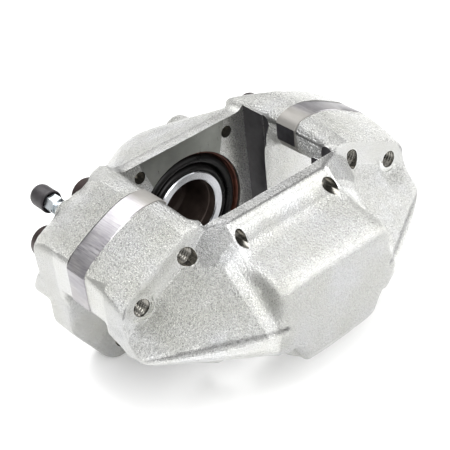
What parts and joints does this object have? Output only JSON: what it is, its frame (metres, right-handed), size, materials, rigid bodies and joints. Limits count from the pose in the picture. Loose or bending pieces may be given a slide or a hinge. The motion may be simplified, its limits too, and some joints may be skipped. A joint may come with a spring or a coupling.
{
  "type": "brake caliper",
  "caption": "Two-piece fixed disc brake caliper with opposed hollow pistons, disc spacer blocks, socket-head bridge bolts, dust boots and a capped bleed screw",
  "frame": {"origin": "on the common axis of the two pistons, in the middle plane of the pad bay (the plane of the brake disc)", "axes": "X along the caliper between its two bridges, +Y inboard along the piston axis, +Z radially away from the wheel axis"},
  "size_m": [0.1766, 0.1453, 0.0954],
  "materials": {
    "casting": "zinc plated, as cast",
    "spacer": "ground and zinc plated",
    "bolt": "black oxide",
    "piston": "polished and plated",
    "rubber": "moulded",
    "boot_ring": "dark brown, oiled",
    "bright_steel": "bright zinc plated"
  },
  "bodies": {
    "caliper": {"inboard_half": "casting", "outboard_half": "casting", "left_spacer": "spacer", "right_spacer": "spacer", "upper_left_bolt": "bolt", "lower_left_bolt": "bolt", "upper_right_bolt": "bolt", "lower_right_bolt": "bolt", "inboard_piston_seal": "rubber", "outboard_piston_seal": "rubber", "inboard_dust_boot": "rubber", "outboard_dust_boot": "rubber", "inboard_boot_ring": "boot_ring", "outboard_boot_ring": "boot_ring", "left_inner_passage_seal": "rubber", "left_outer_passage_seal": "rubber", "right_inner_passage_seal": "rubber", "right_outer_passage_seal": "rubber"},
    "inboard_piston": {"inboard_piston": "piston"},
    "outboard_piston": {"outboard_piston": "piston"},
    "bleed_screw": {"bleed_screw": "bright_steel"},
    "bleed_cap": {"bleed_cap": "rubber"}
  },
  "joints": [
    {"name": "inboard_piston_slide", "type": "slide", "parent": "caliper", "child": "inboard_piston", "axis": [0, -1, 0], "range_m": [0, 0.015], "deforming": ["inboard_dust_boot"]},
    {"name": "outboard_piston_slide", "type": "slide", "parent": "caliper", "child": "outboard_piston", "axis": [0, 1, 0], "range_m": [0, 0.015], "deforming": ["outboard_dust_boot"]},
    {"name": "bleed_screw_turn", "type": "hinge", "parent": "caliper", "child": "bleed_screw", "pos_m": [-0.065, 0.031, 0.031], "axis": [0, 1, 0], "range_deg": [0, 270]},
    {"name": "bleed_cap_pull", "type": "slide", "parent": "bleed_screw", "child": "bleed_cap", "axis": [0, 1, 0], "range_m": [0, 0.012]}
  ]
}
